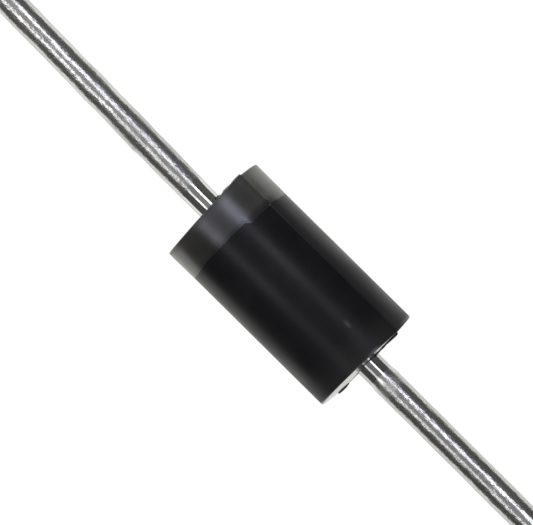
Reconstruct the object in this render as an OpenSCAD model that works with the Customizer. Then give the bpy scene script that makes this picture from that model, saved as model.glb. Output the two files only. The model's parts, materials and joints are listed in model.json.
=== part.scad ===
// Axial-lead transient voltage suppressor diode: a moulded epoxy body with a printed cathode band,
// two nail-head leads, and the die, solder and junction coating that the body seals in.
// Millimetres. Origin at the middle of the body on the lead axis, X toward the banded cathode end,
// Z up with the body lying on its side.

/* [Body] */
// Diameter of the moulded body
body_dia = 5.2; // [4.9:0.05:5.6]
// Length of the body at the mould parting plane
body_len = 9.3; // [8:0.1:9.8]
// Draft of each end face, away from the parting plane
end_draft = 3; // [1:0.25:7]
// Turn of the parting plane about the lead axis, from upright
parting_roll = 43.5; // [0:0.5:90]
// Axial mismatch of the two mould halves
mould_shift = 0.05; // [0.02:0.01:0.15]
// Radial mismatch of the two mould halves
mould_step = 0.03; // [0.01:0.005:0.08]

/* [Flash] */
// Reach of the epoxy flash from the lead, in the parting plane
flash_reach = 0.5; // [0.2:0.05:0.9]
// How far the flash runs out along the lead
flash_run = 0.14; // [0.06:0.02:0.4]
// Thickness of the flash
flash_thick = 0.09; // [0.04:0.01:0.16]
// Length of the broken gate on the anode end, along the parting line
gate_len = 0.9; // [0.4:0.05:1.2]
// Distance of the gate from the edge of the end face
gate_inset = 0.05; // [0.02:0.01:0.3]
// How far the broken gate stands out
gate_rise = 0.1; // [0.04:0.01:0.25]
// Thickness of the gate
gate_thick = 0.16; // [0.08:0.02:0.3]

/* [Cathode band] */
// Width of the band at the parting plane
band_width = 1.5; // [0.8:0.02:2]
// Extra width where the print overlaps itself
band_overlap = 0.2; // [0.1:0.02:0.6]
// Where the overlap starts, from the top of the body
overlap_start = 14; // [0:1:60]
// Angle that the overlap spans
overlap_span = 145; // [60:1:170]
// Thickness of the ink
band_thick = 0.04; // [0.02:0.005:0.1]

/* [Leads] */
// Diameter of the wire where it leaves the body
wire_dia = 1.18; // [0.9:0.01:1.3]
// Thickness of the tin on the rest of the lead
tin_coat = 0.03; // [0.02:0.005:0.1]
// Bare length between the body and the tin
neck_len = 0.6; // [0.3:0.05:2]
// Length over which the tin builds up
tin_runout = 0.75; // [0.65:0.05:1.2]
// Length of each lead outside the body
lead_len = 25.4; // [12:0.1:30]
// Chamfer left by cropping the lead
tip_chamfer = 0.1; // [0.04:0.01:0.25]
// Lean of the cathode lead, set beyond its neck
cathode_lean = 1; // [0:0.05:3]
// Lean of the anode lead, set beyond its neck
anode_lean = 0.1; // [0:0.05:3]

/* [Inside] */
// Side of the square silicon die
die_side = 2.6; // [1.8:0.05:2.8]
// Thickness of the silicon die
die_thick = 0.28; // [0.15:0.01:0.45]
// Diameter of each solder joint
solder_dia = 2.4; // [1.4:0.05:2.6]
// Thickness of each solder joint
solder_thick = 0.06; // [0.03:0.01:0.12]
// Diameter of the nail head on each lead
head_dia = 2.8; // [2.65:0.05:3.2]
// Thickness of the rim of the nail head
head_rim = 0.45; // [0.3:0.05:0.8]
// Length of the cone behind the rim
head_back = 0.6; // [0.3:0.05:1.2]
// Chamfer round the face of the nail head
head_chamfer = 0.08; // [0.03:0.01:0.12]
// Junction coating over the corners of the die
coat_cover = 0.2; // [0.1:0.02:0.35]
// Length of nail-head rim that the coating leaves bare
coat_bare = 0.06; // [0.02:0.01:0.15]
// Slope of the coating's shoulders
coat_slope = 62; // [50:1:75]

/* [Hidden] */
$fn = 96;

body_r = body_dia / 2;
half_len = body_len / 2;
// Larger than any cross-section, for the blocks that trim the body and the band
trim = body_dia;
draft_rise = trim * tan(end_draft);

wire_r = wire_dia / 2;
lead_r = wire_r + tin_coat;
// Depth under the surface of the neck from which the tin's cone starts
tin_root = tin_coat / 4;
neck_end = half_len + neck_len;
tail_len = lead_len - neck_len;

solder_face = die_thick / 2;
head_face = solder_face + solder_thick;
rim_end = head_face + head_rim;
cone_end = rim_end + head_back;
head_r = head_dia / 2;

coat_foot = rim_end - coat_bare;
coat_r = die_side * sqrt(2) / 2 + coat_cover;
coat_top = head_r + coat_foot * tan(coat_slope);

// Turns a profile of [radius, distance along X] points about the X axis
module turned(profile) {
    rotate([0, 90, 0])
        rotate_extrude()
            polygon(profile);
}

// One half of the mould cavity, on the +Y side of the parting plane, with drafted ends.
// lap carries it square past the parting plane.
module mould_half(radius, lap) {
    intersection() {
        rotate([0, 90, 0])
            cylinder(r = radius, h = body_len, center = true);
        linear_extrude(height = 2 * trim, center = true)
            polygon([
                [-half_len, -lap],
                [half_len, -lap],
                [half_len, 0],
                [half_len - draft_rise, trim],
                [draft_rise - half_len, trim],
                [-half_len, 0]
            ]);
    }
}

// Both halves as they closed on each other, out of line by the mismatch
module mould_pair(grow) {
    rotate([parting_roll, 0, 0]) {
        mould_half(body_r + grow, grow);
        translate([-mould_shift, 0, 0])
            mirror([0, 1, 0])
                mould_half(body_r + mould_step + grow, grow);
    }
}

// Half of a long round bar, on the +Y side of the parting plane
module half_bar(radius) {
    intersection() {
        rotate([0, 90, 0])
            cylinder(r = radius, h = 2 * body_len, center = true);
        translate([-body_len, 0, -trim])
            cube([2 * body_len, trim, 2 * trim]);
    }
}

// The round of the body without its ends, as the ink meets it
module stepped_bar() {
    rotate([parting_roll, 0, 0]) {
        half_bar(body_r);
        mirror([0, 1, 0])
            half_bar(body_r + mould_step);
    }
}

// Thin web of epoxy that bled out along one lead, in the parting plane, toward +X
module flash_web() {
    rotate([90, 0, 0])
        linear_extrude(height = flash_thick, center = true)
            polygon([
                [half_len - flash_reach, -wire_r - flash_reach],
                [half_len - mould_shift, -wire_r - flash_reach],
                [half_len + flash_run, -wire_r],
                [half_len + flash_run, wire_r],
                [half_len - mould_shift, wire_r + flash_reach],
                [half_len - flash_reach, wire_r + flash_reach]
            ]);
}

module flash() {
    rotate([parting_roll, 0, 0]) {
        flash_web();
        mirror([1, 0, 0])
            flash_web();
    }
}

// Stub left on the anode end where the gate of the mould was broken off, in the parting plane
module gate_stub() {
    gate_top = body_r - gate_inset;
    gate_foot = gate_top - gate_len;
    rotate([parting_roll, 0, 0])
        rotate([90, 0, 0])
            linear_extrude(height = gate_thick, center = true)
                polygon([
                    [gate_len - half_len, -gate_top],
                    [-half_len, -gate_top],
                    [-half_len - gate_rise, gate_len / 4 - gate_top],
                    [-half_len - gate_rise, gate_len / 2 - gate_top],
                    [-half_len, -gate_foot],
                    [gate_len - half_len, -gate_foot]
                ]);
}

// Nail head and bare neck, which runs on under the start of the tin
module lead_root() {
    turned([
        [0, head_face],
        [head_r - head_chamfer, head_face],
        [head_r, head_face + head_chamfer],
        [head_r, rim_end],
        [wire_r, cone_end],
        [wire_r, neck_end + tin_runout],
        [0, neck_end + tin_runout]
    ]);
}

// Tinned run from the neck to the cropped tip
module lead_tail() {
    turned([
        [0, 0],
        [wire_r - tin_root, 0],
        [lead_r, tin_runout],
        [lead_r, tail_len - tip_chamfer],
        [lead_r - tip_chamfer, tail_len],
        [0, tail_len]
    ]);
}

// One lead toward +X, with its tinned run leaning toward -Y
module lead(lean) {
    union() {
        lead_root();
        translate([neck_end, 0, 0])
            rotate([0, 0, -lean])
                lead_tail();
    }
}

module cathode_lead() {
    color([0.74, 0.74, 0.73])
        lead(cathode_lean);
}

module anode_lead() {
    color([0.74, 0.74, 0.73])
        mirror([1, 0, 0])
            mirror([0, 1, 0])
                lead(anode_lean);
}

module silicon_die() {
    color([0.33, 0.35, 0.42])
        cube([die_thick, die_side, die_side], center = true);
}

// Solder between the die and one nail head, toward +X
module solder() {
    translate([solder_face, 0, 0])
        rotate([0, 90, 0])
            cylinder(d = solder_dia, h = solder_thick);
}

module cathode_solder() {
    color([0.66, 0.66, 0.64])
        solder();
}

module anode_solder() {
    color([0.66, 0.66, 0.64])
        mirror([1, 0, 0])
            solder();
}

// Outside of the coating: a ball over the die, with sloping shoulders down to the nail-head rims
module coat_outside() {
    intersection() {
        sphere(r = coat_r);
        turned([
            [0, -coat_foot],
            [head_r, -coat_foot],
            [coat_top, 0],
            [head_r, coat_foot],
            [0, coat_foot]
        ]);
    }
}

module junction_coating() {
    color([0.88, 0.87, 0.83])
        difference() {
            coat_outside();
            silicon_die();
            cathode_solder();
            anode_solder();
            cathode_lead();
            anode_lead();
        }
}

// Epoxy moulded round the leads and the coated junction
module moulded_body() {
    color([0.10, 0.10, 0.11])
        difference() {
            union() {
                mould_pair(0);
                flash();
                gate_stub();
            }
            coat_outside();
            cathode_lead();
            anode_lead();
        }
}

// Length of body that the band covers: a plain ring, and a wider sector where the print overlaps
module band_zone() {
    translate([half_len - band_width, -trim, -trim])
        cube([band_width + trim, 2 * trim, 2 * trim]);
    translate([half_len - band_width - band_overlap, 0, 0])
        rotate([90, 0, 90])
            linear_extrude(height = band_width + band_overlap + trim)
                polygon([
                    [0, 0],
                    for (step = [0, 0.5, 1])
                        2 * trim * [
                            cos(90 + overlap_start + step * overlap_span),
                            sin(90 + overlap_start + step * overlap_span)
                        ]
                ]);
}

module cathode_band() {
    color([0.27, 0.27, 0.28])
        difference() {
            intersection() {
                mould_pair(band_thick);
                band_zone();
            }
            stepped_bar();
        }
}

moulded_body();
cathode_band();
cathode_lead();
anode_lead();
silicon_die();
cathode_solder();
anode_solder();
junction_coating();
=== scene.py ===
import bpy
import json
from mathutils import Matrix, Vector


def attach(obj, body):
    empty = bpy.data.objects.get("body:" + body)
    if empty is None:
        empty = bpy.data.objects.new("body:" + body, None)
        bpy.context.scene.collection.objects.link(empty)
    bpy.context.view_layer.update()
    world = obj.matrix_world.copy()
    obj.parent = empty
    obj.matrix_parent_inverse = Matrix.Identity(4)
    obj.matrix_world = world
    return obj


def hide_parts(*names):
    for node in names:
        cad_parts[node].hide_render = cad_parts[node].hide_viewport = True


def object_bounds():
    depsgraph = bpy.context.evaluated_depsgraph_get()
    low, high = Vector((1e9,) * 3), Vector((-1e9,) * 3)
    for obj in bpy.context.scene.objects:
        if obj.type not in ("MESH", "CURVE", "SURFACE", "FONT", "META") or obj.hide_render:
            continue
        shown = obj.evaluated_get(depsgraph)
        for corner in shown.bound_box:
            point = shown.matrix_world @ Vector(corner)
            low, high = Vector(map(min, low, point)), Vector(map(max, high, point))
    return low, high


bl_info = {
    "name": "Axial Surge Diode",
    "version": (1, 0, 0),
    "blender": (4, 5, 0),
    "location": "3D View > Sidebar > Diode",
    "description": "Dresses the packed axial-lead surge diode and sets its stage",
    "category": "Object",
}

import json
import math
from functools import partial

import bmesh
import bpy
from bpy.props import FloatProperty, FloatVectorProperty, PointerProperty
from mathutils import Matrix, Vector, noise

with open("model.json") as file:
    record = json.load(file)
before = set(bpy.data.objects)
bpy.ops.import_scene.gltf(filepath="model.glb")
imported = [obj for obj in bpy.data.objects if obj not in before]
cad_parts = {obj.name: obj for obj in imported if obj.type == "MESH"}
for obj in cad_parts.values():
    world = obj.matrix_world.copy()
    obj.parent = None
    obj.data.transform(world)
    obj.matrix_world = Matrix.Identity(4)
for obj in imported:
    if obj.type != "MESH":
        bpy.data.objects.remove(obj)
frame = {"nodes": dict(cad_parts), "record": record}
CAD_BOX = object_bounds()

# Shapes are worked out in millimetres, like the part's source, and scaled as each mesh is made
MM = 0.001
PER_MM = 1000.0
CATHODE_PIN, ANODE_PIN = (mount["axis"] for mount in frame["record"]["mounts"])


# Sizes and colours that a user would change


def length_setting(name, description, default):
    """A length in metres"""
    return FloatProperty(
        name=name, description=description, default=default, precision=6, unit="LENGTH"
    )


def angle_setting(name, description, degrees):
    return FloatProperty(
        name=name, description=description, default=math.radians(degrees), subtype="ANGLE"
    )


def level_setting(name, description, default):
    """A brightness, where 1 is white"""
    return FloatProperty(name=name, description=description, default=default)


def colour_setting(name, description, default):
    return FloatVectorProperty(
        name=name, description=description, default=default, min=0, max=1, subtype="COLOR"
    )


class BodySettings(bpy.types.PropertyGroup):
    """Sizes and colours of the moulded epoxy body"""

    diameter: length_setting("Diameter", "Diameter of the mould half that faces the camera", 0.0052)
    length: length_setting("Length", "Length at the parting plane", 0.0093)
    end_draft: angle_setting("End draft", "Slope of each end face away from the parting plane", 3)
    parting_roll: angle_setting(
        "Parting roll", "Turn of the parting plane about the leads, from upright", 43.5
    )
    mould_shift: length_setting("Mould shift", "Axial mismatch of the two mould halves", 0.00005)
    mould_step: length_setting("Mould step", "Radial mismatch of the two mould halves", 0.00002)
    edge_round: length_setting("Edge round", "Radius round the edge of each end face", 0.00005)
    epoxy: colour_setting("Epoxy", "Colour of the moulding compound", (0.0052, 0.0052, 0.0061))
    epoxy_pale: colour_setting(
        "Pale epoxy", "Colour of the compound where it is cloudy", (0.0068, 0.0068, 0.0078)
    )


class BandSettings(bpy.types.PropertyGroup):
    """Sizes and colours of the printed cathode band"""

    width: length_setting("Width", "Width of the band at the parting plane", 0.0015)
    overlap: length_setting("Overlap", "Extra width where the print overlaps itself", 0.0002)
    overlap_start: angle_setting(
        "Overlap start", "Where the overlap starts, from the top of the body", 14
    )
    overlap_span: angle_setting("Overlap span", "Angle that the overlap spans", 145)
    thickness: length_setting("Thickness", "Thickness of the ink", 0.000012)
    ink: colour_setting("Ink", "Colour of one layer of ink", (0.0175, 0.0165, 0.0155))
    ink_thin: colour_setting(
        "Thin ink",
        "Colour of one layer of ink toward the inner edge of the band",
        (0.0095, 0.0088, 0.0082),
    )
    ink_double: colour_setting(
        "Double ink", "Colour of the ink where the print overlaps itself", (0.0240, 0.0242, 0.0205)
    )


class LeadSettings(bpy.types.PropertyGroup):
    """Sizes and colours of the two tinned leads"""

    wire_diameter: length_setting(
        "Wire diameter", "Diameter of the wire where it leaves the body", 0.00118
    )
    tin_coat: length_setting("Tin coat", "Thickness of the tin on the rest of the lead", 0.00003)
    neck: length_setting("Neck", "Bare length between the body and the tin", 0.0006)
    tin_runout: length_setting("Tin run-out", "Length over which the tin builds up", 0.00075)
    length: length_setting("Length", "Length of each lead outside the body", 0.0254)
    unevenness: length_setting(
        "Unevenness", "How far the dipped tin swells and thins along the lead", 0.00002
    )
    tin: colour_setting("Tin", "Colour of clean tin", (0.745, 0.74, 0.73))
    tin_dull: colour_setting("Dull tin", "Colour of tin that has dulled", (0.62, 0.615, 0.605))


class JunctionSettings(bpy.types.PropertyGroup):
    """Colours of the pieces that the body seals in"""

    silicon: colour_setting("Silicon", "Colour of the lapped die", (0.12, 0.13, 0.17))
    solder: colour_setting("Solder", "Colour of the solder joints", (0.55, 0.55, 0.53))
    silicone: colour_setting("Silicone", "Colour of the junction coating", (0.78, 0.77, 0.73))


class StageSettings(bpy.types.PropertyGroup):
    """Camera and light"""

    camera_distance: length_setting(
        "Camera distance", "Distance from the camera to the middle of the picture", 0.5
    )
    camera_tilt: angle_setting(
        "Camera tilt", "Lean of the camera toward the anode end, from straight above", 1.4
    )
    picture_width: length_setting(
        "Picture width", "Width that the picture takes in at the leads", 0.02239
    )
    lamp_level: level_setting("Lamp level", "Brightness of the strip lamps", 1.2)
    fill_level: level_setting("Fill level", "Brightness of the light from all round", 0.8)
    far_lamp: colour_setting(
        "Far lamp", "Colour of the strip lamp beyond the object", (0.85, 0.90, 1.0)
    )
    near_lamp: colour_setting(
        "Near lamp", "Colour of the strip lamps on the near side", (1.0, 0.97, 0.94)
    )


# Mesh helpers

# Points that lie closer than this are joined
WELD = 0.00005


def smoothstep(low, high, value):
    """0 on the far side of low, 1 on the far side of high, and an even change between them"""
    t = min(max((value - low) / (high - low), 0.0), 1.0)
    return t * t * (3 - 2 * t)


def sway(x, y, z):
    """Smooth noise between about -1 and 1, the same in every run"""
    return noise.noise(Vector((x, y, z)))


def spread(start, end, count):
    """count numbers from start to end"""
    return [start + (end - start) * i / (count - 1) for i in range(count)]


def radians(*degrees):
    return tuple(math.radians(d) for d in degrees)


def join_rings(bm, rings, closed):
    """Faces between rings that have the same number of points, and caps where they don't close"""
    follows = rings[1:] + rings[:1] if closed else rings[1:]
    for ring, after in zip(rings, follows):
        for i in range(len(ring)):
            j = (i + 1) % len(ring)
            bm.faces.new((ring[i], ring[j], after[j], after[i]))
    if not closed:
        bm.faces.new(rings[0])
        bm.faces.new(reversed(rings[-1]))


def finish_piece(name, bm, material, node, crease):
    """Makes an object of a mesh worked out in millimetres, and puts it in the place of its CAD node.
    Edges that turn by more than crease, in degrees, stay sharp."""
    bmesh.ops.remove_doubles(bm, verts=bm.verts, dist=WELD)
    bmesh.ops.recalc_face_normals(bm, faces=bm.faces)
    bm.transform(Matrix.Scale(MM, 4))
    mesh = bpy.data.meshes.new(name)
    bm.to_mesh(mesh)
    bm.free()
    mesh.shade_smooth()
    mesh.set_sharp_from_angle(angle=math.radians(crease))
    mesh.materials.append(material)
    piece = bpy.data.objects.new(name, mesh)
    bpy.context.scene.collection.objects.link(piece)
    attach(piece, "root")
    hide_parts(node)


# Node helpers


def put(tree, kind, sockets=None, **settings):
    """Adds a node, with a value or a link for each socket that is named"""
    node = tree.nodes.new(kind)
    for key, value in settings.items():
        setattr(node, key, value)
    set_sockets(tree, node, sockets or {})
    return node


def set_sockets(tree, node, sockets):
    for key, value in sockets.items():
        if isinstance(value, bpy.types.NodeSocket):
            tree.links.new(value, node.inputs[key])
        else:
            node.inputs[key].default_value = value


def calc(tree, operation, *values):
    """A Math node's result"""
    return put(tree, "ShaderNodeMath", dict(enumerate(values)), operation=operation).outputs[0]


def times(tree, first, second):
    return calc(tree, "MULTIPLY", first, second)


def inverse(tree, mask):
    """0 where a mask is 1, and 1 where it is 0"""
    return calc(tree, "SUBTRACT", 1.0, mask)


def ramp(tree, value, from_low, from_high, to_low=0.0, to_high=1.0):
    """value carried from one range to another, with soft ends"""
    sockets = {0: value, 1: from_low, 2: from_high, 3: to_low, 4: to_high}
    return put(tree, "ShaderNodeMapRange", sockets, interpolation_type="SMOOTHSTEP").outputs[0]


def between(tree, mask, low, high):
    """low where a mask is 0 and high where it is 1, as numbers"""
    return ramp(tree, mask, 0.0, 1.0, low, high)


def blend(tree, mask, first, second):
    """first where a mask is 0 and second where it is 1, as colours"""
    return put(tree, "ShaderNodeMix", {0: mask, 6: first, 7: second}, data_type="RGBA").outputs[2]


def opaque(colour, share=1.0):
    """A colour, or a darker or paler share of it, in the form that a socket takes"""
    return (*(min(1.0, share * c) for c in colour), 1.0)


def vector_calc(tree, operation, sockets):
    """A Vector Math node's results"""
    return put(tree, "ShaderNodeVectorMath", sockets, operation=operation).outputs


def millimetres(tree):
    """The point on the piece, in millimetres from the middle of the body"""
    point = put(tree, "ShaderNodeTexCoord").outputs["Object"]
    return vector_calc(tree, "SCALE", {0: point, "Scale": PER_MM})[0]


def split(tree, vector):
    return put(tree, "ShaderNodeSeparateXYZ", {0: vector}).outputs


def speckle(tree, vector, per_mm, detail, roughness=0.55):
    """Noise with so many grains in a millimetre"""
    sockets = {"Vector": vector, "Scale": per_mm, "Detail": detail, "Roughness": roughness}
    return put(tree, "ShaderNodeTexNoise", sockets).outputs[0]


def new_group(name, inputs, outputs):
    """An empty node group with number sockets, and its two end nodes"""
    group = bpy.data.node_groups.new(name, "ShaderNodeTree")
    for label, value in inputs.items():
        socket = group.interface.new_socket(label, in_out="INPUT", socket_type="NodeSocketFloat")
        socket.default_value = value
    for label in outputs:
        group.interface.new_socket(label, in_out="OUTPUT", socket_type="NodeSocketFloat")
    return group, put(group, "NodeGroupInput").outputs, put(group, "NodeGroupOutput").inputs


def moulding_grain():
    """Fine grain of a moulded or printed skin, over the slow ripple of the mould"""
    name = "Moulding Grain"
    if name in bpy.data.node_groups:
        return bpy.data.node_groups[name]
    group, given, result = new_group(
        name,
        {"Grain per mm": 12.0, "Ripple per mm": 0.8, "Ripple share": 0.5},
        ("Mottle", "Height"),
    )
    point = millimetres(group)
    grain = speckle(group, point, given["Grain per mm"], detail=3.0)
    ripple = speckle(group, point, given["Ripple per mm"], detail=2.0, roughness=0.45)
    fine = times(group, grain, inverse(group, given["Ripple share"]))
    height = calc(group, "MULTIPLY_ADD", ripple, given["Ripple share"], fine)
    group.links.new(ramp(group, ripple, 0.3, 0.7), result["Mottle"])
    group.links.new(height, result["Height"])
    return group


def metal_skin():
    """Streaks along the wire, fine pits and dull patches, as on dipped or reflowed metal"""
    name = "Metal Skin"
    if name in bpy.data.node_groups:
        return bpy.data.node_groups[name]
    group, given, result = new_group(
        name,
        {"Streaks per mm": 5.0, "Stretch": 2.5, "Pits per mm": 12.0, "Patches per mm": 0.9},
        ("Streak", "Patch", "Height"),
    )
    point = millimetres(group)
    x, y, z = split(group, point)
    along = calc(group, "DIVIDE", x, given["Stretch"])
    drawn = put(group, "ShaderNodeCombineXYZ", {0: along, 1: y, 2: z}).outputs[0]
    streak = speckle(group, drawn, given["Streaks per mm"], detail=2.0)
    patch = speckle(group, drawn, given["Patches per mm"], detail=3.0)
    pits = speckle(group, point, given["Pits per mm"], detail=2.0)
    group.links.new(streak, result["Streak"])
    group.links.new(ramp(group, patch, 0.38, 0.62), result["Patch"])
    group.links.new(calc(group, "MULTIPLY_ADD", pits, 0.9, streak), result["Height"])
    return group


def place(tree, group, **values):
    """A node group in a material, with its own values"""
    node = put(tree, "ShaderNodeGroup", node_tree=group)
    set_sockets(tree, node, spaced(values))
    return node.outputs


def spaced(sockets):
    """Sockets by their own names, from names with underscores for the spaces"""
    return {key.replace("_", " "): value for key, value in sockets.items()}


def emptied_tree(owner):
    """The node tree of a material or a world, without its first nodes"""
    owner.use_nodes = True
    owner.node_tree.nodes.clear()
    return owner.node_tree


def new_material(name):
    """A material with only a Principled shader, and its tree and shader"""
    material = bpy.data.materials.new(name)
    tree = emptied_tree(material)
    shader = put(tree, "ShaderNodeBsdfPrincipled")
    put(tree, "ShaderNodeOutputMaterial", {"Surface": shader.outputs[0]})
    return material, tree, shader


def bump(tree, height, microns, strength):
    sockets = {"Height": height, "Distance": microns * MM * MM, "Strength": strength}
    return put(tree, "ShaderNodeBump", sockets).outputs[0]


def wire_up(tree, shader, **sockets):
    """Values and links for the shader's sockets"""
    set_sockets(tree, shader, spaced(sockets))


# Body


class Mould:
    """The two mould halves in millimetres, which the body and its band both follow"""

    # Share of its step that the second half gains toward the anode end and loses toward the other
    STEP_LEAN = 0.3
    # Height and width of the flare of the proud half at the parting line
    FLARE = 0.045
    FLARE_REACH = 0.3
    # Extra length of the first half at the anode end, and on top of it beside the gate
    ANODE_RISE = 0.035
    GATE_RISE = 0.028
    # Distances from the lead over which the rise beside the gate starts and ends, and its depth
    GATE_FROM = (0.3, 1.2)
    GATE_TO = (1.9, 1.5)
    GATE_DEPTH = 2.0
    # Fall of the cathode end for each millimetre toward +Y, and the Y at which it starts
    END_FALL = 0.02
    END_FALL_FROM = 0.8
    # Places across the body between which the axial mismatch sets in
    SHIFT_FROM = (-1.0, 2.2)
    # Waves of the second half at the anode end: height, turn for each millimetre, start and depth
    WAVE = 0.012
    WAVE_TURN = 4.1
    WAVE_START = 0.6
    WAVE_DEPTH = 0.3
    # Turn from the parting line to the top of the lip, in degrees, and to the points close beside it
    LIP_TOP = 1.3
    LIP_TURNS = radians(0.0, 0.45, 0.9, LIP_TOP, 1.7, 2.4, 3.4, 5.0)
    # Start and end of the slope of the ink over the step, from the parting line
    INK_SLOPE = (-0.45, 0.04)
    # How much higher the ink piles up along the lip
    INK_FLARE = 0.03

    def __init__(self, body, leads):
        self.wire_r = leads.wire_diameter * PER_MM / 2
        self.radius = body.diameter * PER_MM / 2
        self.half = body.length * PER_MM / 2
        self.slope = math.tan(body.end_draft)
        self.roll = body.parting_roll
        self.shift = body.mould_shift * PER_MM
        self.step = body.mould_step * PER_MM
        self.edge = body.edge_round * PER_MM

    def around(self, count):
        """Side and turn of each section once round the body, closer together beside the parting
        lines. The turn runs from one line to the other."""
        lip = list(self.LIP_TURNS)
        middle = spread(lip[-1], math.pi - lip[-1], count)[1:-1]
        turns = lip + middle + [math.pi - t for t in reversed(lip)]
        return [(1, turn) for turn in turns] + [(-1, turn) for turn in reversed(turns)]

    def half_radius(self, side, turn, x):
        """Radius of a half. The second half stands proud of the first, more so toward the anode
        end, and flares a little to a chamfered lip where they meet."""
        if side > 0:
            return self.radius
        away = self.from_line(turn)
        lip = min(1.0, away / (self.radius * math.radians(self.LIP_TOP)))
        return self.radius + self.proud(away, x) * lip

    def from_line(self, turn):
        """Distance round the body from the nearer parting line"""
        return self.radius * min(turn, math.pi - turn)

    def proud(self, away, x):
        """How far the second half stands proud of the first, by the distance from the line"""
        flared = self.step + self.FLARE * math.exp(-away / self.FLARE_REACH)
        return flared * (1 - self.STEP_LEAN * x / self.half)

    def inked_radius(self, side, turn, x):
        """Radius under the surface of the ink, which is drawn smoothly over the step"""
        away = self.from_line(turn)
        past = away if side < 0 else -away
        beyond = max(past, 0.0)
        top = self.proud(beyond, x) + self.INK_FLARE * math.exp(-beyond / self.FLARE_REACH)
        return self.radius + top * smoothstep(*self.INK_SLOPE, past)

    def end(self, side, way, turn, radius):
        """Where an end face lies along the leads, at a radius"""
        across, depth = radius * math.cos(turn), radius * math.sin(turn)
        out = self.half - depth * self.slope
        if way > 0:
            out -= self.end_fall(side, across, depth)
        if side < 0:
            out -= way * self.mismatch(way, across, depth)
        elif way < 0:
            out += self.ANODE_RISE + self.gate_rise(across, depth)
        return way * out

    def gate_rise(self, across, depth):
        """How far the first half swells beside the gate"""
        beside = smoothstep(*self.GATE_FROM, -across) * smoothstep(*self.GATE_TO, -across)
        return self.GATE_RISE * (beside * smoothstep(self.GATE_DEPTH, 0.0, depth))

    def end_fall(self, side, across, depth):
        """How far the cathode end falls back toward +Y, where the mould was out of square"""
        y = side * depth * math.cos(self.roll) - across * math.sin(self.roll)
        return self.END_FALL * (max(y - self.END_FALL_FROM, 0.0) + max(-across, 0.0))

    def mismatch(self, way, across, depth):
        """How far the second half sits toward the anode end. The mould closed a little askew,
        so it shows most on the side of the near parting line."""
        shift = self.shift * smoothstep(*self.SHIFT_FROM, across)
        if way > 0 or across <= self.wire_r:
            return shift
        wave = self.WAVE * math.sin(self.WAVE_TURN * across + self.WAVE_START)
        return shift + wave * math.exp(-depth / self.WAVE_DEPTH)

    def place(self, x, side, turn, radius):
        """A point of a half in the frame of the part"""
        return self.seam_point(x, radius * math.cos(turn), side * radius * math.sin(turn))

    def seam_point(self, x, across, depth):
        """A point by its place in the parting plane and its depth from it"""
        c, s = math.cos(self.roll), math.sin(self.roll)
        return Vector((x, depth * c - across * s, depth * s + across * c))


# Cavity round the nail heads and the coating: distances along X, radii and the coating's slope
HEAD_R = 1.4
RIM_END = 0.65
CONE_END = 1.25
COAT_FOOT = 0.59
COAT_BALL = 2.0385
COAT_TAN = math.tan(math.radians(62))
COAT_POINTS = 21


def cavity_profile(mould):
    """Inside of the body, from the anode end to the cathode end"""
    coat = []
    for x in spread(-COAT_FOOT, COAT_FOOT, COAT_POINTS):
        ball = math.sqrt(COAT_BALL**2 - x * x)
        shoulder = HEAD_R + (COAT_FOOT - abs(x)) * COAT_TAN
        coat.append((x, min(ball, shoulder)))
    return [
        (-CONE_END, mould.wire_r),
        (-RIM_END, HEAD_R),
        *coat,
        (RIM_END, HEAD_R),
        (CONE_END, mould.wire_r),
    ]


# Rise of the epoxy up the wire where it leaves the body: radius beyond the wire and rise
COLLAR = ((0.0, 0.05), (0.012, 0.028), (0.03, 0.012), (0.07, 0.0))
# How raggedly it rises, and the noise round the wire that this comes from: spread and seed
COLLAR_RAGGED = 0.8
COLLAR_NOISE = 2.0
COLLAR_SEED = 3.0
# Share of the rise that the cathode wire has
CATHODE_COLLAR = 0.3
# Radius beyond the wire at which the plain end face starts
FACE_START = 0.12
FACE_POINTS = 22
WALL_POINTS = 60
EDGE_TURNS = radians(15, 30, 45, 60, 75, 90)


def body_section(mould, side, turn):
    """Closed outline of the body at one turn: cathode end, side, anode end, then the cavity"""
    c, s = COLLAR_NOISE * math.cos(turn), COLLAR_NOISE * math.sin(turn)
    creep = 1.0 + COLLAR_RAGGED * sway(c, side * s, COLLAR_SEED)

    def end_points(way):
        points = []
        climb = creep * (1.0 if way < 0 else CATHODE_COLLAR)
        for beyond, rise in COLLAR:
            r = mould.wire_r + beyond
            points.append((mould.end(side, way, turn, r) + way * rise * climb, r))
        shoulder = mould.half_radius(side, turn, way * mould.half) - mould.edge
        for r in spread(mould.wire_r + FACE_START, shoulder, FACE_POINTS):
            points.append((mould.end(side, way, turn, r), r))
        corner = mould.end(side, way, turn, shoulder)
        for a in EDGE_TURNS:
            x = corner - way * mould.edge * (1 - math.cos(a))
            points.append((x, shoulder + mould.edge * math.sin(a)))
        return points

    cathode_end, anode_end = end_points(1), end_points(-1)
    walls = spread(cathode_end[-1][0], anode_end[-1][0], WALL_POINTS)[1:-1]
    return [
        *cathode_end,
        *((x, mould.half_radius(side, turn, x)) for x in walls),
        *reversed(anode_end),
        *cavity_profile(mould),
    ]


# Flash on the end faces, in the parting plane: distance from the lead's axis and height over the face
CATHODE_NEAR_FLASH = (
    (0.56, 0.10), (0.72, 0.06), (0.80, 0.065), (0.98, 0.0), (1.10, 0.005), (1.28, 0.035),
    (1.53, 0.03), (1.83, 0.008), (2.14, 0.022), (2.44, 0.025), (2.56, 0.0),
)
CATHODE_FAR_FLASH = ((0.56, 0.05), (0.76, 0.0), (1.05, -0.05))
ANODE_NEAR_FLASH = (
    (0.56, 0.13), (0.76, 0.10), (1.10, 0.085), (1.34, 0.10), (1.59, 0.087),
    (2.32, 0.13), (2.48, 0.125), (2.56, 0.095), (2.60, 0.0),
)
ANODE_FAR_FLASH = ((0.56, 0.12), (0.70, 0.085), (1.10, 0.075), (1.70, 0.072))
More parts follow.
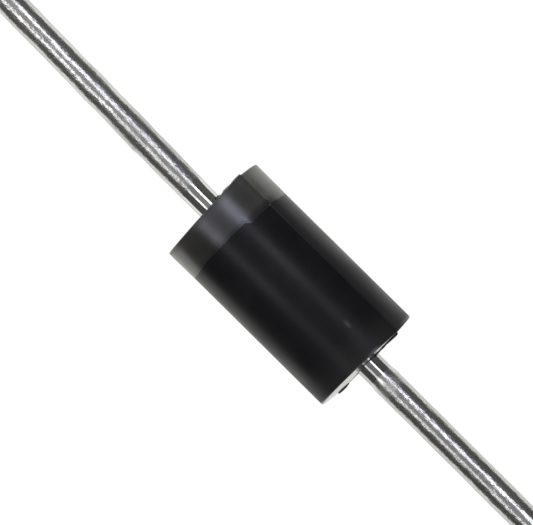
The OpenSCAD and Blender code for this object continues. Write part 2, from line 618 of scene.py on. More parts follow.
# Stub of the broken gate beside the far parting line, in the same form
GATE_STUB = (
    (1.62, 0.02), (1.72, 0.098), (2.00, 0.125), (2.30, 0.116),
    (2.48, 0.106), (2.58, 0.075), (2.63, 0.0),
)
# End, side of the lead, thickness and outline of each leaf
LEAVES = (
    (1, 1, 0.06, CATHODE_NEAR_FLASH),
    (1, -1, 0.09, CATHODE_FAR_FLASH),
    (-1, 1, 0.035, ANODE_NEAR_FLASH),
    (-1, -1, 0.035, ANODE_FAR_FLASH),
    (-1, -1, 0.06, GATE_STUB),
)
# Depth of a leaf's root in the body, length of its bevelled tip, and the tip's share of the thickness
LEAF_ROOT = 0.25
LEAF_BEVEL = 0.02
LEAF_TIP = 0.35
# Share of the thickness that comes and goes, and how often in a millimetre
LEAF_UNEVEN = 0.25
LEAF_UNEVEN_PER_MM = 9


def add_leaf(bm, mould, way, across, thickness, outline):
    """A ragged leaf of epoxy in the parting plane, rooted in an end of the body"""
    rings = []
    for distance, height in outline:
        a = across * distance
        root = way * (mould.half - LEAF_ROOT)
        tip = way * (mould.half + height)
        bevel = tip - way * LEAF_BEVEL
        uneven = sway(LEAF_UNEVEN_PER_MM * tip, LEAF_UNEVEN_PER_MM * a, 1.0)
        thick = thickness * (1 - LEAF_UNEVEN + LEAF_UNEVEN * uneven) / 2
        thin = thick * LEAF_TIP
        one_face = ((root, -thick), (bevel, -thick), (tip, -thin))
        other_face = ((tip, thin), (bevel, thick), (root, thick))
        rings.append([bm.verts.new(mould.seam_point(x, a, d)) for x, d in one_face + other_face])
    join_rings(bm, rings, closed=False)


BODY_SECTIONS = 70


def build_body(mould, material):
    bm = bmesh.new()
    rings = []
    for side, turn in mould.around(BODY_SECTIONS):
        section = body_section(mould, side, turn)
        rings.append([bm.verts.new(mould.place(x, side, turn, r)) for x, r in section])
    join_rings(bm, rings, closed=True)
    for leaf in LEAVES:
        add_leaf(bm, mould, *leaf)
    finish_piece("epoxy_body", bm, material, "moulded_body", crease=30)


# Faint pale rub on the body: its place, its reach along and across, and its colour and strength
RUB_PLACE = (-2.97, -0.55, 2.54)
RUB_REACH = (0.27, 0.11, 1.0)
RUB_COLOUR = (0.05, 0.05, 0.052)
RUB_STRENGTH = 0.8
# Its ragged edge: grains per millimetre, how far they carry it, and where it starts and ends
RUB_GRAIN = 9.0
RUB_RAGGED = 0.8
RUB_EDGE = (0.4, 1.6)
# Distances from the middle over which the side wall gives way to the end faces
END_FACE = (4.45, 4.6)
# Where the flash starts, and its colour
FLASH_FROM = (4.69, 4.72)
FLASH_COLOUR = (0.032, 0.032, 0.028)
# Stretch over which the skin dulls toward the anode, and its gloss at both ends of it
DULL_SKIN = (-1.6, 1.0)
SKIN_GLOSS = (0.083, 0.21)
# Stretch next to the anode end where the skin is paler, its colour there and the share of the gloss
PALE_END = (-4.7, -3.0)
PALE_SKIN = (0.0146, 0.0146, 0.0145)
PALE_GLOSS = 0.5
# Gloss of the end faces. The anode end is scuffed on the side away from the gate: Y and strength
END_GLOSS = 0.9
SCUFF_PLACE = (-1.3, -0.5)
SCUFF_STRENGTH = 0.8
# Roughness of the smooth and the pale skin, and what the mottled grain of the side wall adds to it
SKIN_ROUGH = (0.26, 0.31)
GRAIN_ROUGH = (0.12, 0.20)


def rub_mask(tree, point):
    """How much the pale rub shows at a point"""
    offset = vector_calc(tree, "SUBTRACT", {0: point, 1: RUB_PLACE})[0]
    reached = vector_calc(tree, "DIVIDE", {0: offset, 1: RUB_REACH})[0]
    far = vector_calc(tree, "LENGTH", {0: reached})["Value"]
    grain = speckle(tree, point, RUB_GRAIN, detail=2.0)
    ragged = calc(tree, "MULTIPLY_ADD", grain, RUB_RAGGED, far)
    return ramp(tree, ragged, *RUB_EDGE, RUB_STRENGTH, 0.0)


def epoxy_material(body):
    material, tree, shader = new_material("black moulded epoxy")
    grain = place(tree, moulding_grain(), Grain_per_mm=16.0, Ripple_per_mm=0.7, Ripple_share=0.55)
    point = millimetres(tree)
    x, y, _ = split(tree, point)
    along = calc(tree, "ABSOLUTE", x)
    side_wall = ramp(tree, along, *END_FACE, 1.0, 0.0)
    flash = ramp(tree, along, *FLASH_FROM)
    pale = ramp(tree, x, *PALE_END, 1.0, 0.0)
    pale_wall = times(tree, pale, side_wall)
    colour = blend(tree, grain["Mottle"], opaque(body.epoxy), opaque(body.epoxy_pale))
    colour = blend(tree, pale, colour, opaque(PALE_SKIN))
    colour = blend(tree, rub_mask(tree, point), colour, opaque(RUB_COLOUR))
    colour = blend(tree, flash, colour, opaque(FLASH_COLOUR))
    smooth = between(tree, pale_wall, *SKIN_ROUGH)
    grainy = between(tree, grain["Mottle"], *GRAIN_ROUGH)
    wall_gloss = ramp(tree, x, *DULL_SKIN, *SKIN_GLOSS)
    wall_gloss = times(tree, wall_gloss, between(tree, pale_wall, 1.0, PALE_GLOSS))
    scuffed = times(tree, pale, ramp(tree, y, *SCUFF_PLACE, SCUFF_STRENGTH, 0.0))
    end_face = times(tree, inverse(tree, side_wall), inverse(tree, flash))
    end_face = times(tree, end_face, inverse(tree, scuffed))
    wire_up(
        tree,
        shader,
        Base_Color=colour,
        Roughness=calc(tree, "MULTIPLY_ADD", grainy, side_wall, smooth),
        IOR=1.45,
        Specular_IOR_Level=0.2,
        Specular_Tint=(0.95, 0.91, 1.0, 1.0),
        Coat_Weight=calc(tree, "MULTIPLY_ADD", end_face, END_GLOSS, wall_gloss),
        Coat_Roughness=0.25,
        Coat_IOR=1.5,
        Normal=bump(tree, times(tree, grain["Height"], side_wall), microns=3.0, strength=0.5),
    )
    return material


# Band

# How far the band's inner edge bows inward down the sides, and the angles over which it starts to
BOW = 0.07
BOW_TURNS = radians(38, 65)
# Half of the angle over which the overlap steps in
OVERLAP_SOFT = math.radians(3)
# Noise that makes the inner edge ragged: height, how often it comes, and seed
EDGE_WAVES = ((0.02, 2.2, 7.0), (0.012, 9, 11.0))


def band_reach(band, angle):
    """How far the band reaches from the cathode end, by the angle from the top of the body"""
    start = -band.overlap_start
    end = start - band.overlap_span
    turn = (angle + math.pi) % (2 * math.pi) - math.pi
    if turn > (start + end) / 2:
        inside = smoothstep(start + OVERLAP_SOFT, start - OVERLAP_SOFT, turn)
    else:
        inside = smoothstep(end - OVERLAP_SOFT, end + OVERLAP_SOFT, turn)
    bow = BOW * smoothstep(*BOW_TURNS, abs(turn))
    ragged = 0.0
    for height, often, seed in EDGE_WAVES:
        ragged += height * sway(often * math.cos(angle), often * math.sin(angle), seed)
    return (band.width + band.overlap * inside) * PER_MM + bow + ragged


# Length over which the ink thins out, and how far past the edge of the band it runs
INK_FADE = 0.33
INK_PAST = 0.11
# Thickness at the very edge, and depth to which the ink is sunk into the epoxy and into its rim
INK_EDGE = 0.002
INK_SUNK = 0.004
INK_RIM_SUNK = 0.006
# Ripple of the ink: height, ripples per millimetre, and the length over which it dies away
RIPPLE = 0.01
RIPPLE_PER_MM = 1.1
RIPPLE_FALL = 0.3
# Turns over the rounded rim, down to where the ink ends
RIM_TURNS = radians(20, 40, 60, 75)
BAND_SECTIONS = 110
BAND_POINTS = 24


def band_section(mould, band, side, turn):
    """Closed outline of the ink at one turn, from its inner edge over the rim and back underneath:
    distance along X, radius and how far the ink covers"""
    radius = mould.half_radius(side, turn, mould.half)
    drawn = band.thickness * PER_MM + mould.inked_radius(side, turn, mould.half) - radius
    spot = mould.place(0, side, turn, 1.0)
    start = mould.half - band_reach(band, math.atan2(spot.y, spot.z)) - INK_PAST
    full = start + INK_FADE
    shoulder = radius - mould.edge
    corner = mould.end(side, 1, turn, shoulder) - mould.edge
    section = [(start, radius - INK_SUNK, 0.0)]
    for part in (0.0, 0.25, 0.5, 0.75):
        rise = INK_EDGE + (drawn - INK_EDGE) * part
        section.append((start + INK_FADE * part, radius + rise, part))
    for x in spread(full, corner, BAND_POINTS):
        surface = (x, spot.y * radius, spot.z * radius)
        ripple = RIPPLE * sway(*(RIPPLE_PER_MM * c for c in surface))
        fall = smoothstep(corner, corner - RIPPLE_FALL, x) * smoothstep(0, RIPPLE_FALL, x - full)
        section.append((x, radius + drawn + ripple * fall, 1.0))
    for a in RIM_TURNS:
        over = mould.edge + drawn * (1 - a / (math.pi / 2))
        section.append((corner + over * math.sin(a), shoulder + over * math.cos(a), 1.0))
    under = mould.edge - INK_RIM_SUNK
    last = RIM_TURNS[-1]
    section.append((corner + under * math.sin(last), shoulder + under * math.cos(last), 1.0))
    section.append((corner, radius - INK_SUNK, 1.0))
    return section


def build_band(mould, band, material):
    """The ink follows both mould halves and is drawn over the step between them"""
    bm = bmesh.new()
    cover = bm.verts.layers.float.new("ink_cover")
    rings = []
    for side, turn in mould.around(BAND_SECTIONS):
        ring = []
        for x, r, covered in band_section(mould, band, side, turn):
            point = bm.verts.new(mould.place(x, side, turn, r))
            point[cover] = covered
            ring.append(point)
        rings.append(ring)
    join_rings(bm, rings, closed=True)
    finish_piece("printed_band", bm, material, "cathode_band", crease=30)


# Half of the angle over which the second print starts, and of the length over which the first ends
SECOND_SOFT = math.radians(5)
FIRST_SOFT = 0.1
# How far the mottle carries the ink toward its double colour and back, and its share in the cover
INK_MOTTLE = 0.18
COVER_MOTTLE = 0.5
# Gloss at the inner edge and at the end of the body, and the share of it where the ink thins out
INK_GLOSS = (0.27, 0.32)
THIN_GLOSS = 0.12
# Roughness at the inner edge and at the end of the body, and what the mottle adds to it
INK_ROUGH = (0.25, 0.34)
MOTTLE_ROUGH = 0.06
# Length over which the ink gets rougher still toward the end of the body, and by how much
ROUGH_LENGTH = 0.5
END_ROUGH = 0.12
# The near side is rubbed: angles over which that starts, and the share of the gloss that is left
RUBBED_TURNS = radians(5, 25)
RUBBED_GLOSS = 0.5
# Wear toward the end of the body: distances from it, angles, and strength before and after these
WORN_FROM = 0.45
WORN_TO = 0.08
WORN_TURNS = radians(-18, -7)
WORN = (0.15, 0.65)
# The far rim is duller toward the inner edge: angles over which that starts, and its strength
FAR_RIM_TURNS = radians(-60, -46)
FAR_RIM_WORN = 0.95


def ink_material(body, band, mould):
    material, tree, shader = new_material("grey band ink")
    grain = place(tree, moulding_grain(), Grain_per_mm=20.0, Ripple_per_mm=1.1, Ripple_share=0.5)
    x, y, z = split(tree, millimetres(tree))
    angle = calc(tree, "ARCTAN2", y, z)
    inner = mould.half - band.width * PER_MM

    def toward_end(low, high):
        """low at the inner edge of the band and high at the end of the body"""
        return ramp(tree, x, inner, mould.half, low, high)

    # The second print lies over the first and goes on alone past its edge
    start = -band.overlap_start
    second = ramp(tree, angle, start - SECOND_SOFT, start + SECOND_SOFT, 1.0, 0.0)
    bow = ramp(tree, calc(tree, "ABSOLUTE", angle), *BOW_TURNS, 0.0, BOW)
    first = ramp(tree, calc(tree, "ADD", x, bow), inner - FIRST_SOFT, inner + FIRST_SOFT)
    mottle = between(tree, grain["Mottle"], -INK_MOTTLE, INK_MOTTLE)
    doubled = calc(tree, "MULTIPLY_ADD", first, second, mottle)
    single = blend(tree, toward_end(0.0, 1.0), opaque(band.ink_thin), opaque(band.ink))
    printed = blend(tree, doubled, single, opaque(band.ink_double))
    cover = put(tree, "ShaderNodeAttribute", attribute_name="ink_cover").outputs["Fac"]
    covered = between(tree, calc(tree, "MULTIPLY_ADD", mottle, COVER_MOTTLE, cover), 0.0, 1.0)

    gloss = times(tree, toward_end(*INK_GLOSS), between(tree, covered, THIN_GLOSS, 1.0))
    gloss = times(tree, gloss, ramp(tree, angle, *RUBBED_TURNS, 1.0, RUBBED_GLOSS))
    at_end = ramp(tree, x, mould.half - WORN_FROM, mould.half - WORN_TO)
    worn = times(tree, at_end, ramp(tree, angle, *WORN_TURNS, *WORN))
    gloss = times(tree, gloss, inverse(tree, worn))
    far_rim = ramp(tree, angle, *FAR_RIM_TURNS, 1.0, 0.0)
    gloss = times(tree, gloss, inverse(tree, times(tree, far_rim, toward_end(FAR_RIM_WORN, 0.0))))

    rough = between(tree, grain["Mottle"], 0.0, MOTTLE_ROUGH)
    rough = calc(tree, "ADD", toward_end(*INK_ROUGH), rough)
    rough_end = ramp(tree, x, mould.half - ROUGH_LENGTH, mould.half, 0.0, END_ROUGH)
    wire_up(
        tree,
        shader,
        Base_Color=blend(tree, covered, opaque(body.epoxy_pale), printed),
        Roughness=calc(tree, "ADD", rough, rough_end),
        IOR=1.6,
        Specular_IOR_Level=0.66,
        Specular_Tint=(0.78, 0.80, 1.0, 1.0),
        Coat_Weight=gloss,
        Coat_Roughness=0.32,
        Coat_IOR=2.4,
        Sheen_Weight=0.17,
        Sheen_Roughness=0.46,
        Sheen_Tint=(1.0, 0.95, 0.30, 1.0),
        Normal=bump(tree, grain["Height"], microns=3.0, strength=0.5),
    )
    return material


# Leads

NAIL_HEAD_FACE = 0.2
NAIL_HEAD_CHAMFER = 0.08
# Chamfer of the cropped tip: size, the shares of it all round and to one side, and its rings
TIP_CHAMFER = 0.1
CROP_ROUND = 0.8
CROP_ASIDE = 0.25
TIP_PARTS = (0.3, 0.7, 1.0)
# Rings inside the body, closer ones about the neck, those along the run, and the points of each
SEALED_RINGS = 8
NECK_RINGS = 34
RUN_RINGS = 170
LEAD_POINTS = 56
# Where the rings change over: depth inside the end of the body, and distance beyond the neck
SEALED_TO = 0.1
NECK_FROM = 0.05
NECK_TO = 1.6
RUN_FROM = 1.75
# Length over which a lead's lean sets in
BEND = 0.25
# How raggedly the tin starts, and the spread of the noise round the lead that this comes from
TIN_RAGGED = 0.05
TIN_NOISE = 1.6
# Swelling of the tin all round: how often in a millimetre, and its place in the noise
SWELL_PER_MM = 0.75
SWELL_ROW = 0.4
# Lopsided swelling: how often in a millimetre, how much it changes round the lead, and its share
LOPSIDED_PER_MM = 0.9
LOPSIDED_ROUND = 1.1
LOPSIDED = 0.7
CATHODE_SEED = 4.0
ANODE_SEED = 15.0
# Share of the unevenness that the anode lead has, and of the run-out over which its tin builds up
ANODE_SWELL = 0.5
ANODE_BUILD = 0.4
# Solder drips on the cathode lead: place along it, turn round it from the top, height and reach
DRIPS = (
    (8.65, 82, 0.045, 0.22),
    (12.3, -70, 0.018, 0.35),
    (16.1, 60, 0.015, 0.4),
    (10.4, -84, 0.014, 0.3),
)
# Reach of a drip round the lead
DRIP_ROUND = 0.2


class Wire:
    """One lead toward +X in millimetres, with its tinned run leaning toward -Y"""

    def __init__(self, leads, mould, pin, seed, drips=(), swell=1.0, build_up=1.0):
        self.half = mould.half
        self.wire_r = leads.wire_diameter * PER_MM / 2
        self.tin = leads.tin_coat * PER_MM
        self.neck_end = mould.half + leads.neck * PER_MM
        self.tin_middle = self.neck_end + leads.tin_runout * PER_MM / 2
        self.tin_rise = build_up * leads.tin_runout * PER_MM / 2
        self.tip = mould.half + leads.length * PER_MM
        self.uneven = swell * leads.unevenness * PER_MM
        self.lean = abs(pin[1] / pin[0])
        self.seed = seed
        self.drips = drips

    def offset(self, x):
        """Sideways set of the lead, which starts softly beyond the neck"""
        away = x - self.neck_end
        return -self.lean * (away + math.hypot(away, BEND)) / 2 if x > self.half else 0.0

    def radius(self, x, turn):
        c, s = math.cos(turn), math.sin(turn)
        middle = self.tin_middle + TIN_RAGGED * sway(TIN_NOISE * c, TIN_NOISE * s, self.seed)
        tinned = smoothstep(middle - self.tin_rise, middle + self.tin_rise, x)
        swell = sway(SWELL_PER_MM * x, self.seed, SWELL_ROW)
        swell += LOPSIDED * sway(
            LOPSIDED_PER_MM * x, LOPSIDED_ROUND * c + self.seed, LOPSIDED_ROUND * s
        )
        r = self.wire_r + tinned * (self.tin + self.uneven * swell)
        for along, degrees, height, reach in self.drips:
            beside = math.remainder(turn - math.radians(degrees), 2 * math.pi) * self.wire_r
            r += height * math.exp(-(((x - along) / reach) ** 2 + (beside / DRIP_ROUND) ** 2))
        return r

    def tip_radius(self, part, turn):
        """Radius on the chamfer of the tip, which the cropping blade leaves deeper on one side"""
        cut = TIP_CHAMFER * part * part * (CROP_ROUND + CROP_ASIDE * math.cos(turn))
        return self.radius(self.tip, turn) - cut

    def stations(self):
        """Places of the rings along the lead beyond its nail head, up to the chamfer of the tip"""
        sealed = spread(CONE_END, self.half - SEALED_TO, SEALED_RINGS)
        neck = spread(self.half - NECK_FROM, self.neck_end + NECK_TO, NECK_RINGS)
        run = spread(self.neck_end + RUN_FROM, self.tip - TIP_CHAMFER, RUN_RINGS)
        return sealed + neck + run

    def ring(self, bm, x, radius):
        """Points round the lead, at a radius that may change with the turn"""
        points = []
        for i in range(LEAD_POINTS):
            turn = 2 * math.pi * i / LEAD_POINTS
            r = radius(turn)
            y = r * math.sin(turn) + self.offset(x)
            points.append(bm.verts.new((x, y, r * math.cos(turn))))
        return points

    def build(self, name, node, material, turned):
        bm = bmesh.new()
        heads = (
            (NAIL_HEAD_FACE, HEAD_R - NAIL_HEAD_CHAMFER),
            (NAIL_HEAD_FACE + NAIL_HEAD_CHAMFER, HEAD_R),
            (RIM_END, HEAD_R),
        )
        rings = [self.ring(bm, x, lambda turn, r=r: r) for x, r in heads]
        rings += [self.ring(bm, x, partial(self.radius, x)) for x in self.stations()]
        for part in TIP_PARTS:
            x = self.tip - TIP_CHAMFER * (1 - part)
            rings.append(self.ring(bm, x, partial(self.tip_radius, part)))
        join_rings(bm, rings, closed=False)
        if turned:
            bm.transform(Matrix.Rotation(math.pi, 4, "Z"))
        finish_piece(name, bm, material, node, crease=35)


# Middle stretch inside the body over which the finish of one lead gives way to the other's
LEADS_MEET = (-1.0, 1.0)
# Start of the tin's finish beyond the neck, length over which it sets in, and its ragged edge
TIN_FROM = 0.45
TIN_BLEND = 0.45
TIN_EDGE_RAGGED = 0.3
TIN_EDGE_PER_MM = 2.6
# Share of the tin's colour that the bare neck of the anode lead has, and of the relief on both necks
NECK_SHADE = 0.76
NECK_RELIEF = 0.15
# Roughness of the bare neck and of the tin, and what its streaks and its dull patches add
NECK_ROUGH = 0.10
TIN_ROUGH = 0.17
STREAK_ROUGH = 0.18
PATCH_ROUGH = 0.06
# Share of that haze, and of the dull colour, that the smoother and greyer anode lead has all over
ANODE_HAZE = 0.5
ANODE_DULL = 0.5
# Where the dull first stretch of the anode lead's tin starts and ends, and how much rougher it is
RING_START = (5.58, 5.68)
RING_END = (6.35, 6.75)
RING_ROUGH = 0.18


def tin_material(leads, mould):
    material, tree, shader = new_material("tinned copper")
    skin = place(tree, metal_skin(), Streaks_per_mm=5.0, Stretch=2.5, Pits_per_mm=6.5)
    point = millimetres(tree)
    x = split(tree, point)[0]
    along = calc(tree, "ABSOLUTE", x)
    edge = speckle(tree, point, TIN_EDGE_PER_MM, detail=2.0)
    ragged = calc(tree, "MULTIPLY_ADD", edge, TIN_EDGE_RAGGED, along)
    tin_start = mould.half + leads.neck * PER_MM + TIN_FROM
    tinned = ramp(tree, ragged, tin_start, tin_start + TIN_BLEND)
    anode = ramp(tree, x, *LEADS_MEET, 1.0, 0.0)
    ring = times(tree, ramp(tree, ragged, *RING_START), ramp(tree, ragged, *RING_END, 1.0, 0.0))
    ring = times(tree, ring, anode)

    patchy = times(tree, skin["Patch"], calc(tree, "SUBTRACT", tinned, ring))
    greyer = calc(tree, "SUBTRACT", anode, ring)
    dull = calc(tree, "MULTIPLY_ADD", greyer, ANODE_DULL, patchy)
    covered = calc(tree, "MAXIMUM", tinned, ring)
    bare_anode = times(tree, anode, inverse(tree, covered))
    colour = blend(tree, dull, opaque(leads.tin), opaque(leads.tin_dull))
    colour = blend(tree, bare_anode, colour, opaque(leads.tin, NECK_SHADE))

    patch_haze = times(tree, dull, PATCH_ROUGH)
    haze = calc(tree, "MULTIPLY_ADD", skin["Streak"], STREAK_ROUGH, patch_haze)
    haze = times(tree, haze, calc(tree, "MULTIPLY_ADD", anode, ANODE_HAZE - 1.0, 1.0))
    rough = between(tree, tinned, NECK_ROUGH, TIN_ROUGH)
    rough = calc(tree, "MULTIPLY_ADD", tinned, haze, rough)
    relief = calc(tree, "MULTIPLY_ADD", tinned, 1.0 - NECK_RELIEF, NECK_RELIEF)
    relief = times(tree, skin["Height"], relief)
    wire_up(
        tree,
        shader,
        Base_Color=colour,
        Metallic=1.0,
        Specular_Tint=(0.7, 0.7, 0.7, 1.0),
        Roughness=calc(tree, "MULTIPLY_ADD", ring, RING_ROUGH, rough),
        Normal=bump(tree, relief, microns=16.0, strength=0.9),
    )
    return material


# Junction


def silicon_material(junction):
    material, tree, shader = new_material("lapped silicon")
    grain = place(tree, moulding_grain(), Grain_per_mm=40.0, Ripple_per_mm=3.0, Ripple_share=0.2)
    dark, pale = opaque(junction.silicon), opaque(junction.silicon, 1.35)
    wire_up(
        tree,
        shader,
        Base_Color=blend(tree, grain["Mottle"], dark, pale),
        Roughness=between(tree, grain["Mottle"], 0.22, 0.34),
        IOR=2.6,
        Normal=bump(tree, grain["Height"], microns=1.5, strength=0.5),
    )
    return material


def solder_material(junction):
    material, tree, shader = new_material("dull solder")
    skin = place(tree, metal_skin(), Stretch=1.0, Pits_per_mm=16.0, Patches_per_mm=2.2)
    bright, dull = opaque(junction.solder), opaque(junction.solder, 0.75)
    wire_up(
        tree,
        shader,
        Base_Color=blend(tree, skin["Patch"], bright, dull),
        Metallic=1.0,
        Roughness=ramp(tree, skin["Streak"], 0.2, 0.8, 0.36, 0.52),
        Normal=bump(tree, skin["Height"], microns=6.0, strength=0.6),
    )
    return material


def silicone_material(junction):
    material, tree, shader = new_material("white silicone rubber")
    grain = place(tree, moulding_grain(), Grain_per_mm=9.0, Ripple_per_mm=1.2, Ripple_share=0.7)
    shaded, white = opaque(junction.silicone, 0.88), opaque(junction.silicone)
    wire_up(
        tree,
        shader,
        Base_Color=blend(tree, grain["Mottle"], shaded, white),
        Roughness=between(tree, grain["Mottle"], 0.42, 0.55),
        IOR=1.41,
        Normal=bump(tree, grain["Height"], microns=12.0, strength=0.6),
    )
    return material


# Stage

# Lowest point of the body as it lies on the floor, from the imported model
FLOOR_Z = CAD_BOX[0].z
FLOOR_REACH = 3.0
# The floor's colour to the eye and in reflections, how much it glows, and the part of it that takes
# the object's shadow
FLOOR_SEEN = (1.0, 1.0, 0.998)
FLOOR_REFLECTED = (1.0, 0.998, 0.962)
FLOOR_GLOW = 0.955
FLOOR_SHADED = (0.09, 0.09, 0.09)
# The floor's colour for the light that it throws back
FLOOR_PAINT = (0.8, 0.8, 0.8)
# Middle of the picture in the plane of the leads, and the picture's turn about the line of sight
PICTURE_MIDDLE = Vector((1.294, 0.0, 0.0)) * MM
PICTURE_ROLL = math.radians(0.29)
SENSOR = 36.0
# Middle and width of the strip lamps, in degrees from overhead toward +Y
FAR_STRIP = (-24.0, 15.0)
NEAR_STRIP = (32.5, 14.0)
# Setting with the colour, strip, share of the level, start and end of each lamp along the leads
LAMPS = (
    ("strip_lamp_far", "far_lamp", FAR_STRIP, 1.0, -0.18, 0.18),
    ("strip_lamp_near", "near_lamp", NEAR_STRIP, 0.12, -0.18, 0.02),
    ("strip_lamp_near_cathode", "near_lamp", NEAR_STRIP, 1.15, 0.02, 0.18),
)
LAMP_DISTANCE = 0.35
# Energy for each square metre of a lamp that is as bright as white
LAMP_WHITE = 4
# Cards over the object: distance, reach along the leads, end of the flags and gap beside the strips
CARD_DISTANCE = 0.36
CARD_REACH = 0.45
FLAG_END = 62.0
CARD_GAP = 0.1
# Cards beside the body: distance from the leads and height of the top
SIDE_CARD_Y = 0.0125
SIDE_CARD_TOP = 0.010


def seen_rays(tree):
    """1 for rays from the camera and for those that reflections and clear parts show"""
    path = put(tree, "ShaderNodeLightPath").outputs
    shiny = calc(tree, "MAXIMUM", path["Is Glossy Ray"], path["Is Transmission Ray"])
    return calc(tree, "MAXIMUM", path["Is Camera Ray"], shiny)


def set_world(level):
    """White to the eye and in reflections, and a fill light of its own level"""
    world = bpy.data.worlds.new("white studio")
    tree = emptied_tree(world)
    strength = put(tree, "ShaderNodeMix", {0: seen_rays(tree), 2: level, 3: 1.0}).outputs[0]
    back = put(tree, "ShaderNodeBackground", {"Color": (1, 1, 1, 1), "Strength": strength})
    put(tree, "ShaderNodeOutputWorld", {"Surface": back.outputs[0]})
    bpy.context.scene.world = world


def floor_material():
    """White to the eye and in reflections, with a part that takes the object's shadow"""
    material = bpy.data.materials.new("white floor")
    tree = emptied_tree(material)
    direct = put(tree, "ShaderNodeLightPath").outputs["Is Camera Ray"]
    white = blend(tree, direct, opaque(FLOOR_REFLECTED), opaque(FLOOR_SEEN))
    glow = put(tree, "ShaderNodeEmission", {"Color": white, "Strength": FLOOR_GLOW})
    shaded = put(tree, "ShaderNodeBsdfDiffuse", {"Color": opaque(FLOOR_SHADED)})
    shown = put(tree, "ShaderNodeAddShader", {0: glow.outputs[0], 1: shaded.outputs[0]})
    paint = put(tree, "ShaderNodeBsdfDiffuse", {"Color": opaque(FLOOR_PAINT)})
    sockets = {0: seen_rays(tree), 1: paint.outputs[0], 2: shown.outputs[0]}
    mixed = put(tree, "ShaderNodeMixShader", sockets)
    put(tree, "ShaderNodeOutputMaterial", {"Surface": mixed.outputs[0]})
    return material


def card_material(name, level):
    material = bpy.data.materials.new(name)
    tree = emptied_tree(material)
    glow = put(tree, "ShaderNodeEmission", {"Color": (1, 1, 1, 1), "Strength": level})
    put(tree, "ShaderNodeOutputMaterial", {"Surface": glow.outputs[0]})
    return material


def add_card(name, corners, material):
    """A flat sheet of the studio"""
    mesh = bpy.data.meshes.new(name)
    mesh.from_pydata(corners, [], [range(len(corners))])
    mesh.materials.append(material)
    card = bpy.data.objects.new(name, mesh)
    bpy.context.scene.collection.objects.link(card)
    return card


def add_floor():
    low, high = -FLOOR_REACH, FLOOR_REACH
    outline = ((low, low), (high, low), (high, high), (low, high))
    add_card("floor", [(x, y, FLOOR_Z) for x, y in outline], floor_material())


def overhead(degrees, distance=CARD_DISTANCE):
    """Y and Z of a point over the object, at an angle from straight above toward +Y"""
    angle = math.radians(degrees)
    return distance * math.sin(angle), distance * math.cos(angle)


def edges(strip):
    """Angles of the two edges of a strip lamp"""
    middle, width = strip
    return middle - width / 2, middle + width / 2


def add_cards():
    """Cards that only reflections show: one on each side of the body, flags outside the strip lamps
    and a grey card between them"""
    dark = card_material("dark card", level=0.08)
    dim = card_material("dim card", level=0.10)
    grey = card_material("grey overhead card", level=0.24)
    far_outer, far_inner = edges(FAR_STRIP)
    near_inner, near_outer = edges(NEAR_STRIP)
    far, near = -SIDE_CARD_Y, SIDE_CARD_Y
    cards = (
        ("side_card_far", (far, FLOOR_Z), (far, SIDE_CARD_TOP), dim),
        ("side_card_near", (near, FLOOR_Z), (near, SIDE_CARD_TOP), dark),
        ("flag_far", overhead(-FLAG_END), overhead(far_outer), dark),
        ("flag_near", overhead(near_outer), overhead(FLAG_END), dark),
        ("overhead_card", overhead(far_inner + CARD_GAP), overhead(near_inner - CARD_GAP), grey),
    )
    for name, one, other, material in cards:
        places = ((-CARD_REACH, one), (CARD_REACH, one), (CARD_REACH, other), (-CARD_REACH, other))
        card = add_card(name, [(x, *place) for x, place in places], material)
        card.visible_camera = False
        card.visible_diffuse = False
        card.visible_shadow = False
        card.visible_transmission = False


def add_lamp(name, strip, level, start, end, colour):
    angle, across = strip
    length, width = end - start, 2 * LAMP_DISTANCE * math.tan(math.radians(across / 2))
    data = bpy.data.lights.new(name, "AREA")
    data.shape = "RECTANGLE"
    data.size, data.size_y = length, width
    data.energy = LAMP_WHITE * length * width * level
    data.color = colour
    lamp = bpy.data.objects.new(name, data)
    back = Vector((0.0, *overhead(angle, 1.0)))
    along = Vector((1, 0, 0))
    turn = Matrix((along, back.cross(along), back)).transposed()
    spot = back * LAMP_DISTANCE + along * (start + end) / 2
    lamp.matrix_world = Matrix.Translation(spot) @ turn.to_4x4()
    lamp.visible_camera = False
    bpy.context.scene.collection.objects.link(lamp)


def add_camera(stage):
    """Looks down on the body from a little toward the anode end, with the cathode lead
    running to the upper left"""
    data = bpy.data.cameras.new("photo_camera")
    data.sensor_width = SENSOR
    data.lens = SENSOR * stage.camera_distance / stage.picture_width
    data.clip_start, data.clip_end = 0.01, 10.0
    back = Vector((-math.sin(stage.camera_tilt), 0.0, math.cos(stage.camera_tilt)))
    corner = math.radians(45) - PICTURE_ROLL
    up = Vector((math.sin(corner), -math.cos(corner), 0.0))
    right = up.cross(back).normalized()
    up = back.cross(right)
    camera = bpy.data.objects.new("photo_camera", data)
    turn = Matrix((right, up, back)).transposed()
    spot = PICTURE_MIDDLE + back * stage.camera_distance
    camera.matrix_world = Matrix.Translation(spot) @ turn.to_4x4()
    bpy.context.scene.collection.objects.link(camera)
    bpy.context.scene.camera = camera


# Operators


def scene_mould(scene):
    return Mould(scene.diode_body, scene.diode_leads)


class DIODE_OT_body(bpy.types.Operator):
    """Build the moulded epoxy body in the place of its CAD node"""

    bl_idname = "diode.body"
    bl_label = "Moulded Body"

    def execute(self, context):
        body = context.scene.diode_body
        build_body(scene_mould(context.scene), epoxy_material(body))
        return {"FINISHED"}


class DIODE_OT_band(bpy.types.Operator):
    """Build the printed cathode band over the moulded body"""

    bl_idname = "diode.band"
    bl_label = "Cathode Band"

    def execute(self, context):
        band = context.scene.diode_band
        mould = scene_mould(context.scene)
        build_band(mould, band, ink_material(context.scene.diode_body, band, mould))
        return {"FINISHED"}


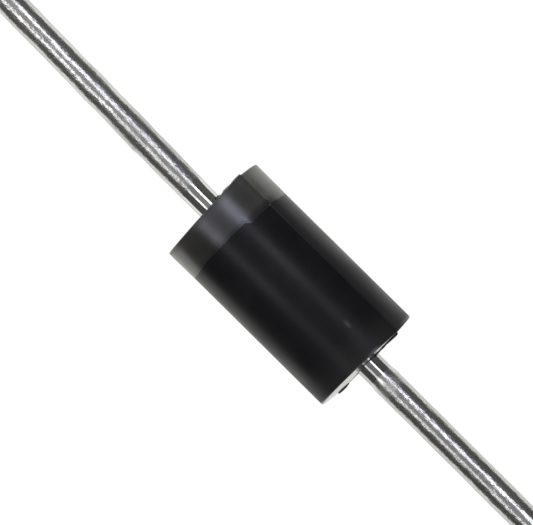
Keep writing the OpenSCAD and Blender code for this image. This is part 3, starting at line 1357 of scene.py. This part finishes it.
class DIODE_OT_leads(bpy.types.Operator):
    """Build the two tinned leads with their nail heads"""

    bl_idname = "diode.leads"
    bl_label = "Leads"

    def execute(self, context):
        leads = context.scene.diode_leads
        mould = scene_mould(context.scene)
        tin = tin_material(leads, mould)
        cathode = Wire(leads, mould, CATHODE_PIN, CATHODE_SEED, drips=DRIPS)
        cathode.build("cathode_wire", "cathode_lead", tin, turned=False)
        anode = Wire(leads, mould, ANODE_PIN, ANODE_SEED, swell=ANODE_SWELL, build_up=ANODE_BUILD)
        anode.build("anode_wire", "anode_lead", tin, turned=True)
        return {"FINISHED"}


class DIODE_OT_junction(bpy.types.Operator):
    """Finish the die, the solder joints and the coating that the body seals in"""

    bl_idname = "diode.junction"
    bl_label = "Junction"

    def execute(self, context):
        junction = context.scene.diode_junction
        solder = solder_material(junction)
        finishes = {
            "silicon_die": silicon_material(junction),
            "cathode_solder": solder,
            "anode_solder": solder,
            "junction_coating": silicone_material(junction),
        }
        for name, material in finishes.items():
            mesh = frame["nodes"][name].data
            mesh.materials.clear()
            mesh.materials.append(material)
        return {"FINISHED"}


class DIODE_OT_stage(bpy.types.Operator):
    """Set up the floor, the studio cards, the lamps and the camera"""

    bl_idname = "diode.stage"
    bl_label = "Stage"

    def execute(self, context):
        stage = context.scene.diode_stage
        context.scene.view_settings.view_transform = "Standard"
        set_world(stage.fill_level)
        add_floor()
        add_cards()
        for name, colour, strip, share, start, end in LAMPS:
            level = stage.lamp_level * share
            add_lamp(name, strip, level, start, end, getattr(stage, colour))
        add_camera(stage)
        return {"FINISHED"}


class DIODE_PT_sidebar(bpy.types.Panel):
    """Pieces of the diode and its stage"""

    bl_idname = "DIODE_PT_sidebar"
    bl_label = "Axial Surge Diode"
    bl_space_type = "VIEW_3D"
    bl_region_type = "UI"
    bl_category = "Diode"

    def draw(self, context):
        for operator, settings in STEPS:
            box = self.layout.box()
            box.operator(operator.bl_idname)
            group = getattr(context.scene, settings)
            for name in group.__annotations__:
                box.prop(group, name)


# Each operator with the settings that it reads, in the order in which they run
STEPS = (
    (DIODE_OT_body, "diode_body"),
    (DIODE_OT_band, "diode_band"),
    (DIODE_OT_leads, "diode_leads"),
    (DIODE_OT_junction, "diode_junction"),
    (DIODE_OT_stage, "diode_stage"),
)
SETTINGS = {
    "diode_body": BodySettings,
    "diode_band": BandSettings,
    "diode_leads": LeadSettings,
    "diode_junction": JunctionSettings,
    "diode_stage": StageSettings,
}


def register():
    for name, group in SETTINGS.items():
        bpy.utils.register_class(group)
        setattr(bpy.types.Scene, name, PointerProperty(type=group))
    for operator, _ in STEPS:
        bpy.utils.register_class(operator)
    bpy.utils.register_class(DIODE_PT_sidebar)


def unregister():
    bpy.utils.unregister_class(DIODE_PT_sidebar)
    for operator, _ in reversed(STEPS):
        bpy.utils.unregister_class(operator)
    for name, group in reversed(SETTINGS.items()):
        delattr(bpy.types.Scene, name)
        bpy.utils.unregister_class(group)


def main():
    register()
    bpy.ops.diode.body()
    bpy.ops.diode.band()
    bpy.ops.diode.leads()
    bpy.ops.diode.junction()
    bpy.ops.diode.stage()


if __name__ == "__main__":
    main()
